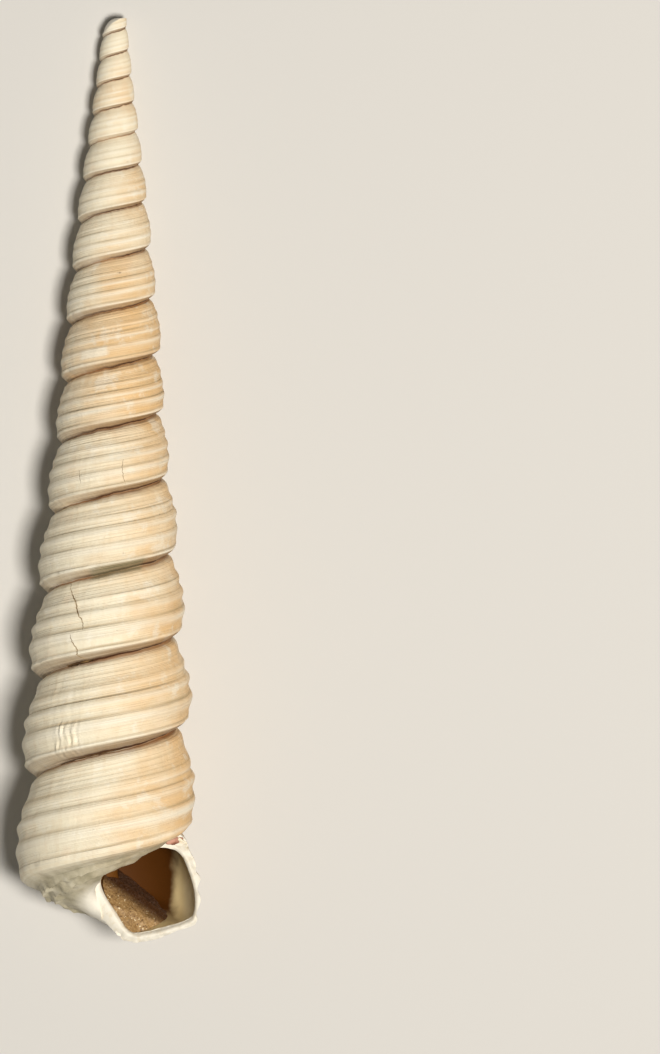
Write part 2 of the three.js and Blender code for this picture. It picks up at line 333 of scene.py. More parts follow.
def skin(turn, place):
    """Points on the whorls at a turn and a place."""
    xs, _ = lines_at(turn)
    band = np.clip((xs <= place[..., None]).sum(-1) - 1, 0, LAST_LINE - 1)
    start, end = pick(xs, band), pick(xs, band + 1)
    _, share = on_lines(turn, band, np.clip((place - start) / (end - start), 0, 1))
    depth, radius = whorl_at(turn)
    return around(turn, radius * share, depth + place * (whorl_at(turn + 1)[0] - depth))


def healed_ridges(turn, place):
    """Crowded wavy ridges across the tenth whorl, where the growing edge broke and healed."""
    middle = HEALED_TURN + 0.007 * (1 - ((place - 0.76) / 0.17) ** 2)
    across = turn - middle + 0.0055 * ripple(turn * 25, place * 11)
    across += 0.0020 * ripple(turn * 80, place * 31)
    ridges = np.cos(2 * np.pi * across / HEALED_RIDGE) * window(across, -0.020, 0.024, 0.012)
    patchy = np.clip(0.40 + 1.3 * ripple(turn * 75, place * 13, 5), 0, 1)
    swollen = 0.05 * window(across, -0.014, 0.018, 0.012)
    return (0.14 * ridges * patchy + swollen) * window(place, *HEALED_PLACES, 0.06)


def whorl_points(turn, row):
    """Points of the whorls, with their line and part of the next band, and their place."""
    band, part = (np.array(column)[row] for column in zip(*ROWS))
    place, share = on_lines(turn, band, part)
    depth, radius = whorl_at(turn)
    next_depth, _ = whorl_at(turn + 1)

    size = radius / WHORLS[-1][1]
    away = window(place, 0.05, 0.96, 0.04)
    growth = 0.045 * ripple(turn * 40, place * 1.2) + 0.030 * ripple(turn * 95, place * 2.2)
    at_keel = window(place, 0.872, 0.90, 0.025)
    nibbled = -0.40 * at_keel * np.maximum(ripple(turn * 27, 3.3) - 0.15, 0)
    nibbled -= 0.20 * at_keel * np.maximum(ripple(turn * 61, 8.1), 0)
    dents = -0.13 * np.maximum(ripple(turn * 21, place * 9, 2) - 0.28, 0)
    out = radius * share + away * size * (growth + nibbled + dents + healed_ridges(turn, place))
    sway = seam_sway(turn) * (1 - smooth_step(place, 0, 0.06))
    sway += seam_sway(turn + 1) * smooth_step(place, 0.92, 1)
    points = around(turn, out, depth + place * (next_depth - depth) + sway)
    return points, band + part, place


def wear_and_painted_light_at(turn, band, place):
    """Dirt and painted shade in lines along the cords, and how much paler their crests are, partly
    rubbed and partly painted highlight, each from 0 to 1.
    """
    def near(lines, width):
        return sum(much * np.exp(-((band - line) / width) ** 2) for line, much in lines)

    patchy = np.clip(0.60 + 0.8 * ripple(turn * 6, band * 1.3), 0, 1)
    # Partly dirt and partly painted shade: darker lines on the upper flanks of the cords.
    dirt_and_shade = near(DIRT_AND_SHADE_LINES, 0.12) * patchy * by_turn([(0, 0.3), (5, 1)], turn)
    # Partly rubbed and partly painted highlight: paler lines just below the crests of the cords.
    pale = near(PALE_LINES, 0.35) * (1.3 - patchy)
    whitish = window(turn, *WHITISH_TURNS, 0.020) * window(place, *WHITISH_PLACES, 0.05)
    return np.stack([dirt_and_shade, np.maximum(pale, 0.7 * whitish)], -1)


def stain_at(turn, band, place):
    """Clay in the suture, and the one spot of it that has gone grey-green, each from 0 to 1."""
    under = smooth_step(band, KEEL + 0.02, KEEL + 0.45) * (band < LAST_LINE + 0.001)
    under = under * (turn < MOUTH_TURN - 0.98)
    under += 0.9 * (1 - smooth_step(place, 0.015, 0.045 + 0.015 * ripple(turn * 24, 2.5)))
    clay = under * by_turn(CLAY_SIDES, turn % 1) * np.clip(1.0 + 0.7 * ripple(turn * 3.7, 6.6), 0.4, 1)
    moss = window(turn, *MOSS_TURNS, 0.02) * smooth_step(place, 0.86, 0.92)
    moss += window(turn - 1, *MOSS_TURNS, 0.02) * (1 - smooth_step(place, 0.02, 0.06))
    return np.stack([clay, 0.9 * moss], -1)


def base_points(turn, row):
    """Points of the base, from the lower suture line of the last turn to the columella."""
    share = ((row - LAST_ROW) / BASE_ROWS)[..., None]
    points = suture_points(turn + 1) * (1 - share) + columella_points(turn) * share
    share = share[..., 0]
    inside = window(share, 0.08, 0.92, 0.08)
    young = 1 - smooth_step(turn, 11.55, 11.9)
    cords = sum(height * window(share, low, high, 0.05) for height, low, high in BASE_CORDS)
    cords = cords * (0.4 + 0.6 * smooth_step(turn, 11.15, 11.32))
    lumpy = np.maximum(ripple(*(points * 1.1).T) + 0.1, 0) * window(turn, 11.34, 11.62, 0.08)
    knobs = 0.75 * lumpy * window(share, 0.05, 0.36, 0.10)
    rough = 0.06 * ripple(*(points * 1.4).T) + 0.02 * ripple(*(points * 4.1).T)
    growth = 0.05 * ripple(turn * 40, 2.2) * (1 - share)
    away = smooth_step(turn, MOUTH_TURN - 0.98, MOUTH_TURN - 0.82)
    points[..., 1] -= BASE_BULGE * 4 * share * (1 - share)
    points[..., 1] -= inside * (cords * young + (knobs + rough + growth) * away)
    return points, LAST_LINE + share, 1 + share


# ---- Making meshes -----------------------------------------------------------


def add_grid(bm, low, high, steps):
    """A flat grid of facets from one corner to the other."""
    (x0, y0), (x1, y1) = low, high
    middle = Matrix.Translation(((x0 + x1) / 2, (y0 + y1) / 2, 0))
    stretch = Matrix.Diagonal((x1 - x0, y1 - y0, 1, 1))
    bmesh.ops.create_grid(bm, x_segments=steps[0], y_segments=steps[1], size=0.5,
                          matrix=middle @ stretch)


def split_edges(bm, low, high):
    """Halves the edges along one straight line, so that a finer grid meets them."""
    def on_line(vert):
        return all(a - TOUCHING <= c <= b + TOUCHING for a, b, c in zip(low, high, vert.co))

    edges = [edge for edge in bm.edges if all(on_line(vert) for vert in edge.verts)]
    bmesh.ops.subdivide_edges(bm, edges=edges, cuts=1)


def refine(bm, low, high, cuts):
    """Splits the edges along the first axis that lie between two values on it."""
    def across(edge):
        start, end = sorted(vert.co.x for vert in edge.verts)
        level = abs(edge.verts[0].co.y - edge.verts[1].co.y) < 0.1
        return level and low <= start and end <= high and 0 < edge.verts[0].co.y < LAST_ROW

    edges = [edge for edge in bm.edges if across(edge)]
    bmesh.ops.subdivide_edges(bm, edges=edges, cuts=cuts, use_grid_fill=True)


def coordinates(mesh):
    values = np.empty(len(mesh.vertices) * 3)
    mesh.vertices.foreach_get("co", values)
    return values.reshape(-1, 3)


def set_coordinates(mesh, points):
    mesh.vertices.foreach_set("co", np.ascontiguousarray(points, dtype=float).ravel())
    mesh.update()


def write_map(mesh, name, per_vertex):
    """A UV map that holds two numbers for each vertex."""
    corners = np.empty(len(mesh.loops), int)
    mesh.loops.foreach_get("vertex_index", corners)
    layer = mesh.uv_layers.new(name=name)
    layer.data.foreach_set("uv", per_vertex[corners].astype(float).ravel())


def put(name, data):
    """Puts an object that shows a mesh, camera or light in the scene."""
    made = bpy.data.objects.new(name, data)
    bpy.context.scene.collection.objects.link(made)
    return made


def piece_from(bm, name, finish=None):
    mesh = bpy.data.meshes.new(name)
    bm.to_mesh(mesh)
    bm.free()
    if finish:
        mesh.materials.append(finish)
    return put(name, mesh)


def carve(piece, cutter):
    """Cuts a closed mesh by another, and the new surface keeps the finish of the cutter."""
    cut = piece.modifiers.new("cut", "BOOLEAN")
    cut.operation = "DIFFERENCE"
    cut.solver = "MANIFOLD"
    cut.material_mode = "TRANSFER"
    cut.object = cutter
    evaluated = piece.evaluated_get(bpy.context.evaluated_depsgraph_get())
    result = bpy.data.meshes.new_from_object(evaluated)
    piece.modifiers.clear()
    piece.data = result
    bpy.data.objects.remove(cutter)


def lay_down(piece):
    """Turns the shell's frame to the part's: on its back, in metres, and no wider than the part."""
    turned = Matrix.Rotation(-LEAN, 4, "X")
    piece.data.transform(Matrix.Scale(MM, 4) @ Matrix.Translation(TIP_AXIS) @ turned)
    set_coordinates(piece.data, np.clip(coordinates(piece.data), *cad_box))


def extrude_up(bm, height):
    """Makes a grid into a closed block with a flat top at a height."""
    raised = bmesh.ops.extrude_face_region(bm, geom=bm.faces[:])["geom"]
    for vert in [item for item in raised if isinstance(item, bmesh.types.BMVert)]:
        vert.co.z = height


def slab(name, finish, steps):
    """A flat closed block of whole-numbered columns and rows, one unit high."""
    bm = bmesh.new()
    add_grid(bm, (0, 0), steps, steps)
    extrude_up(bm, 1)
    return piece_from(bm, name, finish)


def close_up(mesh, join=0.0):
    """Closes what is still open, joining points no further apart, and turns all facets outward."""
    bm = bmesh.new()
    bm.from_mesh(mesh)
    if join:
        bmesh.ops.remove_doubles(bm, verts=bm.verts, dist=join)
    rims = [edge for edge in bm.edges if edge.is_boundary]
    for face in bmesh.ops.holes_fill(bm, edges=rims, sides=0)["faces"]:
        face.material_index = len(mesh.materials) - 1
    bmesh.ops.recalc_face_normals(bm, faces=bm.faces)
    bm.to_mesh(mesh)
    bm.free()


# ---- Shell -------------------------------------------------------------------


def shell_outside():
    """The closed outside: whorls, base, flat mouth face and a lid over the first turn."""
    bm = bmesh.new()
    young_columns = round((FINE_TURN - START_TURN) * COLUMNS / 2)
    add_grid(bm, (START_TURN, 0), (FINE_TURN, LAST_ROW), (young_columns, LAST_ROW // 2))
    split_edges(bm, (FINE_TURN, 0, 0), (FINE_TURN, LAST_ROW, 0))
    split_edges(bm, (FINE_TURN - 1, LAST_ROW, 0), (FINE_TURN, LAST_ROW, 0))
    fine_columns = (MOUTH_TURN - FINE_TURN) * COLUMNS
    add_grid(bm, (FINE_TURN, 0), (MOUTH_TURN, LAST_ROW), (fine_columns, LAST_ROW))
    refine(bm, *FINER_TURNS, 3)
    base_low, base_high = (MOUTH_TURN - 1, LAST_ROW), (MOUTH_TURN, LAST_ROW + BASE_ROWS)
    add_grid(bm, base_low, base_high, (COLUMNS, BASE_ROWS))
    shell = piece_from(bm, "shell_body", FINISHES["shell"])
    shell.data.materials.append(FINISHES["broken"])
    mesh = shell.data

    turn, row, _ = coordinates(mesh).T
    row = np.rint(row).astype(int)
    on_base = row > LAST_ROW
    points = np.empty((len(turn), 3))
    band, place = np.empty(len(turn)), np.empty(len(turn))
    for chosen, make in ((on_base, base_points), (~on_base, whorl_points)):
        points[chosen], band[chosen], place[chosen] = make(turn[chosen], row[chosen])
    for edge_row, turns_on in ((0, 0), (LAST_ROW, 1)):
        points[row == edge_row] = suture_points(turn[row == edge_row] + turns_on)
    set_coordinates(mesh, points)
    write_map(mesh, "winding", np.stack([turn, band], -1))
    write_map(mesh, "place", np.stack([turn, place], -1))
    write_map(mesh, "wear_and_painted_light", wear_and_painted_light_at(turn, band, place))
    write_map(mesh, "stain", stain_at(turn, band, place))

    close_up(mesh, join=TOUCHING)
    return shell


def mouth_edge(corner):
    """Points on the inner edge of the mouth, as x and depth, at whole and part corners of it."""
    return spline(MOUTH[-2:] + MOUTH + MOUTH[:3], corner + 2)


def hollow(name, finish, inset, corners, steps):
    """The winding hollow behind the mouth as a closed mesh, shrunk by an inset."""
    edge = mouth_edge(np.arange(corners) * len(MOUTH) / corners)
    centre = edge.mean(0)
    bm = bmesh.new()
    add_grid(bm, (0, -1), (corners, steps), (corners, steps + 1))
    piece = piece_from(bm, name, finish)
    corner, step, _ = np.rint(coordinates(piece.data)).T.astype(int)
    corner = corner % corners

    back = HOLLOW_TURNS * np.clip(step, 0, steps) / steps
    turn = MOUTH_TURN - back
    scale = (whorl_at(turn)[0] - APEX_DEPTH) / (whorl_at(MOUTH_TURN)[0] - APEX_DEPTH)
    taper = np.sqrt(np.clip(1 - (back / HOLLOW_TURNS) ** 3, 0, 1))
    reach = (edge - centre)[corner]
    length = np.linalg.norm(reach, axis=1)
    reach *= (np.maximum(length * taper - inset, 0) / length)[:, None]
    x, depth = (centre + reach).T
    low, high = edge[:, 0].min(), edge[:, 0].max()
    drawn = HOLLOW_PILLAR + (x - low) * (high - HOLLOW_PILLAR) / (high - low)
    radius = x + (drawn - x) * smooth_step(back, 0, PILLAR_TURNS)
    points = around(turn, radius * scale, APEX_DEPTH + (depth - APEX_DEPTH) * scale)
    pillar_side = 1 - smooth_step(edge[corner, 0], 0, PILLAR_SIDE)
    points[:, 2] -= PILLAR_DROP * taper * pillar_side * smooth_step(back, 0, 0.025)
    uneven = 0.07 * ripple(*(points * 0.9).T)
    points[:, :2] += (uneven / length)[:, None] * reach
    points[step < 0, 2] += HOLLOW_CLEARANCE
    set_coordinates(piece.data, points)

    close_up(piece.data, join=TOUCHING)
    return piece


def rough_block(name, finish, side, height, steps, relief, grain, droop=(0, 0)):
    """A square block on a rough lower face, which may droop away from its middle."""
    bm = bmesh.new()
    add_grid(bm, (-side / 2, -side / 2), (side / 2, side / 2), (steps, steps))
    for vert in bm.verts:
        fine = noise.noise(vert.co * grain * 2.7) * 0.4
        fallen = droop[0] * min(vert.co.length, droop[1]) ** 4
        vert.co.z = relief * (noise.noise(vert.co * grain) + fine) - fallen
    extrude_up(bm, height)
    bmesh.ops.recalc_face_normals(bm, faces=bm.faces)
    return piece_from(bm, name, finish)


def break_tip(shell):
    """Takes the tip off along a break that is worn round."""
    block = rough_block("broken_tip", FINISHES["broken"], side=9, height=12, steps=54,
                        relief=0.06, grain=1.9, droop=BREAK_DROOP)
    block.data.transform(Matrix.Translation(BREAK_TOP) @ Matrix.Rotation(-math.pi / 2, 4, "X"))
    carve(shell, block)


def break_lip(shell):
    """Rounds the inner edge of the mouth, and breaks away the outer lip's edge in small chips."""
    corners, rings = 150, 14
    lip = slab("lip_edge", FINISHES["broken"], (corners, rings))
    corner, away, top = coordinates(lip.data).T
    along = LIP_PART[0] + (LIP_PART[1] - LIP_PART[0]) * corner / corners
    edge = mouth_edge(along)
    ahead = mouth_edge(along + 0.02) - edge
    outward = np.stack([-ahead[:, 1], ahead[:, 0]], -1) / np.linalg.norm(ahead, axis=1)[:, None]
    outer = 1 - smooth_step(corner / corners, 0.70, 0.80)
    inward = 1.6 * smooth_step(corner / corners, 0.74, 0.92)
    # In millimetres from here on: how far a point lies out from the edge, and what falls away there.
    away = -0.35 + (2.55 - 0.8 * outer - inward) * away / rings
    x, depth = (edge - outward * away[:, None]).T
    ends = window(corner / corners, 0.04, 0.90, 0.04) + window(corner / corners, 0.90, 0.91, 0.08)
    ends = np.clip(ends, 0, 1)
    rounding = 0.40 * np.clip(1 - (away + 0.05) / 0.38, 0, 1.2) ** 2
    chips = 0.75 + 0.8 * ripple(x * 1.2, depth * 1.2) + 0.55 * ripple(x * 3.3, depth * 3.3)
    chipped = np.maximum(away - 0.42, 0) * np.maximum(chips, 0.05) * outer
    uneven = outer * (0.05 + 0.10 * ripple(x * 1.6, depth * 1.6) + 0.04 * ripple(x * 5, depth * 5))
    fallen = 1.3 * (np.maximum(away - 0.35, 0) / 1.85) ** 2 * (1 - outer)
    low = 0.05 - ends * (0.05 + rounding + chipped + uneven + fallen)
    points = np.stack([x, -depth, np.where(top > 0.5, 0.12, low)], -1)
    set_coordinates(lip.data, points)
    close_up(lip.data)
    carve(shell, lip)


def cut_pocket(shell, name, finish, place, size, tilt=0, rough=0):
    """A rounded hole: its middle, its half sizes, how it is tilted and how rough its wall is."""
    bm = bmesh.new()
    laid = Matrix.Translation(place) @ Matrix.Rotation(tilt, 4, "Z") @ Matrix.Diagonal((*size, 1))
    bmesh.ops.create_icosphere(bm, subdivisions=3, radius=1, matrix=laid)
    for vert in bm.verts:
        vert.co += rough * noise.noise_vector(vert.co * 2.1)
    carve(shell, piece_from(bm, name, finish))


def cut_crack(shell, width, path, deep, finish):
    """A jagged slot along a path on the whorls, narrow at both ends."""
    steps = CRACK_STEPS * (len(path) - 1)
    blade = slab("crack", finish, (steps, 2))
    step, side, top = coordinates(blade.data).T
    side -= 1
    t = np.arange(steps + 1)
    turn, place = spline(path, t / CRACK_STEPS).T
    jag = 0.0020 * ripple(t * 0.9, turn * 5) * (10 / whorl_at(turn)[1])
    middle = skin(turn + jag, np.minimum(place + 0.006 * ripple(t * 0.7, 9), 1))
    outward = middle * (1, 0, 1)
    outward /= np.linalg.norm(outward, axis=1)[:, None]
    along = np.gradient(middle, axis=0)
    across = np.cross(along, outward)
    across /= np.linalg.norm(across, axis=1)[:, None]
    slim = 0.25 + 0.75 * np.sin(np.pi * (t + 0.6) / (steps + 1.2)) + 0.3 * ripple(t * 0.8, 4)
    i = np.rint(step).astype(int)
    reach = np.where(top > 0.5, 1.0, -deep)
    points = middle[i] + reach[:, None] * outward[i]
    points += (side * width / 2 * slim[i] * np.where(top > 0.5, 1.6, 0.7))[:, None] * across[i]
    set_coordinates(blade.data, points)
    close_up(blade.data)
    carve(shell, blade)


def cut_dots(shell, name, finish, dots):
    """Small round or long dents: each dot is its turn, place, and size along, across and in."""
    bm = bmesh.new()
    for turn, place, along, across, deep in dots:
        centre = Vector(skin(np.array(turn), np.array(place)))
        outward = Vector((centre.x, 0, centre.z)).normalized()
        ahead = outward.cross(Vector((0, 1, 0)))
        turned = Matrix((ahead, Vector((0, 1, 0)), outward)).transposed().to_4x4()
        place_at = Matrix.Translation(centre) @ turned @ Matrix.Diagonal((along, across, deep, 1))
        bmesh.ops.create_icosphere(bm, subdivisions=1, radius=1, matrix=place_at)
    carve(shell, piece_from(bm, name, finish))


def drop_crumbs(bm):
    """Deletes all that the cuts have left loose from the largest connected piece."""
    unseen = set(bm.verts)
    pieces = []
    while unseen:
        piece, edge_of_it = set(), [unseen.pop()]
        while edge_of_it:
            vert = edge_of_it.pop()
            piece.add(vert)
            near = {edge.other_vert(vert) for edge in vert.link_edges} & unseen
            unseen -= near
            edge_of_it.extend(near)
        pieces.append(piece)
    pieces.sort(key=len)
    for piece in pieces[:-1]:
        bmesh.ops.delete(bm, geom=list(piece), context="VERTS")


def make_shell():
    shell = shell_outside()
    carve(shell, hollow("mouth_hollow", FINISHES["inner"], inset=0, corners=96, steps=44))
    break_tip(shell)
    cut_pocket(shell, "tip_pit", FINISHES["crack"], TIP_PIT, TIP_PIT_SIZE)
    break_lip(shell)
    cut_pocket(shell, "suture_pocket", FINISHES["pocket"], POCKET, POCKET_SIZE,
               tilt=POCKET_TILT, rough=POCKET_ROUGHNESS)
    for width, path in CRACKS:
        cut_crack(shell, width, path, CRACK_DEPTH, FINISHES["crack"])
    for width, path in GAPS:
        cut_crack(shell, width, path, GAP_DEPTH, FINISHES["gap"])
    pits = [(turn, place, radius, radius, PIT_DEPTH * radius) for turn, place, radius in PITS]
    cut_dots(shell, "pits", FINISHES["gap"], pits)
    chips = [(turn, place, length / 2, CHIP_WIDTH, CHIP_DEPTH) for turn, place, length in CHIPS]
    cut_dots(shell, "chips", FINISHES["broken"], chips)

    bm = bmesh.new()
    bm.from_mesh(shell.data)
    bmesh.ops.triangulate(bm, faces=[face for face in bm.faces if len(face.verts) > 4])
    # The cuts pinch some edges together, which shrink away in a few rounds.
    for _ in range(4):
        pinched = [edge for edge in bm.edges if len(edge.link_faces) > 2]
        bmesh.ops.collapse(bm, edges=pinched, uvs=False)
    bmesh.ops.delete(bm, geom=[edge for edge in bm.edges if edge.is_wire], context="EDGES")
    drop_crumbs(bm)
    bm.to_mesh(shell.data)
    bm.free()
    lay_down(shell)
    shell.data.shade_smooth()
    shell.data.set_sharp_from_angle(angle=math.radians(40))
    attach(shell, "root")
    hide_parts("shell")


# ---- Sand --------------------------------------------------------------------


def make_sand():
    """The plug of sand: what the hollow holds below a rough slope, and loose grains on it."""
    sand = hollow("sand", FINISHES["sand"], inset=SAND_GAP, corners=64, steps=30)
    top = (SAND_HEAP - SAND_LEFT).cross(SAND_RIGHT - SAND_LEFT).normalized()
    slopes = [(SAND_LEFT, top, SAND_RELIEF)]
    for inward, tilt in SAND_FALLS:
        tilt = math.radians(tilt)
        facing = SAND_INWARD * math.sin(tilt) + Vector((0, 0, math.cos(tilt)))
        slopes.append((SAND_CREST + SAND_INWARD * inward, facing, FALLS_RELIEF))
    for start, facing, relief in slopes:
        block = rough_block("beyond_sand", None, side=30, height=20, steps=200,
                            relief=relief, grain=0.9)
        turned = facing.to_track_quat("Z", "Y").to_matrix().to_4x4()
        block.data.transform(Matrix.Translation(start) @ turned)
        carve(sand, block)

    bm = bmesh.new()
    bm.from_mesh(sand.data)
    bmesh.ops.triangulate(bm, faces=bm.faces)
    bare = [face for face in bm.faces
            if max(face.normal.dot(facing) for _, facing, _ in slopes) > 0.8
            and face.calc_center_median().z > GRAINS_ABOVE]
    spots = chance.choices(bare, weights=[face.calc_area() for face in bare], k=GRAIN_COUNT)
    spots = [(face.calc_center_median(), face.normal.copy()) for face in spots]
    shade = bm.loops.layers.uv.new("grain")
    for centre, facing in spots:
        size = chance.choice(GRAIN_SIZES)
        wide, high = size * chance.uniform(0.6, 1), size * chance.uniform(0.5, 0.9)
        shape = Matrix.Diagonal((size, wide, high, 1))
        spin = Matrix.Rotation(chance.uniform(0, 6.28), 4, Vector((chance.random(), chance.random(), 1)))
        place = Matrix.Translation(centre + facing * size * 0.2) @ spin @ shape
        made = bmesh.ops.create_icosphere(bm, subdivisions=1, radius=1, matrix=place)["verts"]
        tone = chance.random()
        for face in {face for vert in made for face in vert.link_faces}:
            for loop in face.loops:
                loop[shade].uv = (tone, 1.0)
    bm.to_mesh(sand.data)
    bm.free()
    lay_down(sand)
    sand.data.shade_flat()
    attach(sand, "root")
    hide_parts("sand_fill")


# ---- Finishes ----------------------------------------------------------------


def rgb(code):
    """An sRGB hex colour as linear RGBA."""
    parts = [int(code[i:i + 2], 16) / 255 for i in (1, 3, 5)]
    return [c / 12.92 if c <= 0.04045 else ((c + 0.055) / 1.055) ** 2.4 for c in parts] + [1]


def add(tree, kind, inputs=None, **settings):
    """A node with its settings, and its inputs as values, colours or what they are linked to."""
    made = tree.nodes.new("ShaderNode" + kind)
    for name, value in settings.items():
        setattr(made, name, value)
    for name, value in (inputs or {}).items():
        by_name = [socket for socket in made.inputs if socket.enabled and socket.name == name]
        socket = made.inputs[name] if isinstance(name, int) else by_name[0]
        if isinstance(value, bpy.types.Node):
            value = next(output for output in value.outputs if output.enabled)
        if isinstance(value, bpy.types.NodeSocket):
            tree.links.new(value, socket)
        else:
            socket.default_value = rgb(value) if isinstance(value, str) else value
    return made


def in_millimetres(tree):
    """Where each point lies in the part's frame, in millimetres."""
    at = add(tree, "TexCoord").outputs["Object"]
    return add(tree, "VectorMath", {0: at, "Scale": 1 / MM}, operation="SCALE")


def map_values(tree, name):
    """The two numbers that a UV map holds."""
    axes = add(tree, "SeparateXYZ", {"Vector": add(tree, "UVMap", uv_map=name)})
    return axes.outputs["X"], axes.outputs["Y"]


def new_finish(name, colour, roughness):
    made = bpy.data.materials.new(name)
    made.use_nodes = True
    tree = made.node_tree
    tree.nodes.clear()
    bsdf = add(tree, "BsdfPrincipled", {"Base Color": colour, "Roughness": roughness})
    add(tree, "OutputMaterial", {"Surface": bsdf})
    return made, tree, bsdf


def paint(tree, bsdf, colour, coats):
    """Lays the colour of each coat over those before it, as much as its amounts multiply to."""
    for over, amount, *limits in coats:
        for limit in limits:
            amount = add(tree, "Math", {0: amount, 1: limit}, operation="MULTIPLY")
        colour = add(tree, "Mix", {"Factor": amount, "A": colour, "B": over}, data_type="RGBA")
    tree.links.new(colour.outputs[2], bsdf.inputs["Base Color"])


def iron_and_chalk(tree, turn, body, patches):
    """Coats of iron stain in clouds some 6 mm across, and of white or pinkish patches of 2 to 3 mm.

    The stain is stronger toward the side of the outer lip, and a third of the way down.
    """
    clouds = add(tree, "TexNoise", {"Vector": body, "Scale": 0.16, "Detail": 4.0, "Roughness": 0.6})
    apart = add(tree, "Math", {0: turn, 1: TANNED_TURN}, operation="SUBTRACT")
    apart = add(tree, "Math", {0: apart}, operation="ABSOLUTE")
    tanned = add(tree, "MapRange", {"Value": apart, "From Min": 2.2, "From Max": 0.2, "To Max": 6.0})
    across = add(tree, "SeparateXYZ", {"Vector": body}).outputs["X"]
    lean = add(tree, "Math", {0: clouds, 1: 20.0, 2: across}, operation="MULTIPLY_ADD")
    lean = add(tree, "Math", {0: lean, 1: tanned}, operation="ADD")
    iron = add(tree, "MapRange", {"Value": lean, "From Min": 6.0, "From Max": 20.0},
               interpolation_type="SMOOTHSTEP")
    chalky = add(tree, "MapRange", {"Value": patches, "From Min": 0.52, "From Max": 0.66,
                                    "To Max": 0.45}, interpolation_type="SMOOTHSTEP")
    pinkish = add(tree, "MapRange", {"Value": patches, "From Min": 0.46, "From Max": 0.30,
                                     "To Max": 0.30})
    return [("#EAC28B", iron), ("#FCF7E8", chalky), ("#F0D2B2", pinkish)]


def growth_lines(tree, turn, place):
    """Noise in lines across the winding, 0.3 to 1 mm apart, that sway a little."""
    bent = add(tree, "Math", {0: place, 1: 3.6}, operation="MULTIPLY")
    bent = add(tree, "Math", {0: bent}, operation="SINE")
    sway = add(tree, "Math", {0: bent, 1: 0.008, 2: turn}, operation="MULTIPLY_ADD")
    lengthwise = add(tree, "Math", {0: place, 1: 0.03}, operation="MULTIPLY")
    growing = add(tree, "CombineXYZ", {"X": sway, "Y": lengthwise})
    return add(tree, "TexNoise", {"Vector": growing, "Scale": 80.0})


def suture_clay(tree, along, place, clay, green):
    """Coats of clay: tan on the underside, nearly black-brown in the seam, rust beside it.

    The last coat is the spot that has gone grey-green.
    """
    spotty = add(tree, "TexNoise", {"Vector": along, "Scale": 22.0, "Detail": 5.0, "Roughness": 0.7})
    thick = add(tree, "MapRange", {"Value": spotty, "From Min": 0.30, "From Max": 0.54, "To Min": 0.62})
    seam = add(tree, "MapRange", {"Value": place, "From Min": 0.958, "From Max": 0.980})
    ragged = add(tree, "MapRange", {"Value": spotty, "From Min": 0.36, "From Max": 0.46})
    filled = add(tree, "MapRange", {"Value": clay, "From Min": 0.35, "From Max": 0.70})
    beside = add(tree, "MapRange", {"Value": place, "From Min": 0.034, "From Max": 0.006})
    rust = add(tree, "MapRange", {"Value": spotty, "From Min": 0.40, "From Max": 0.54, "To Max": 0.90})
    tufts = add(tree, "MapRange", {"Value": spotty, "From Min": 0.38, "From Max": 0.56})
    return [("#805C33", clay, thick), ("#4E2F14", seam, ragged, filled),
            ("#AE7340", beside, rust), ("#7D7758", green, tufts)]


def base_and_mouth(tree, turn, band, patches):
    """Coats that make the base greyer, and clean white on the mouth's rim and the pillar."""
    below = add(tree, "MapRange", {"Value": band, "From Min": LAST_LINE - 1.0,
                                   "From Max": LAST_LINE + 0.1})
    last = add(tree, "Math", {0: turn, 1: MOUTH_TURN - 0.995}, operation="GREATER_THAN")
    grey = add(tree, "MapRange", {"Value": patches, "From Min": 0.32, "From Max": 0.60,
                                  "To Min": 0.95, "To Max": 0.55})
    pillar = add(tree, "MapRange", {"Value": band, "From Min": LAST_LINE + 0.56,
                                    "From Max": LAST_LINE + 0.80})
    rim = add(tree, "MapRange", {"Value": turn, "From Min": MOUTH_TURN - 0.022,
                                 "From Max": MOUTH_TURN - 0.008})
    clean = add(tree, "Math", {0: pillar, 1: rim}, operation="MAXIMUM")
    return [("#9C9478", below, last, grey), ("#F2ECDD", clean)]


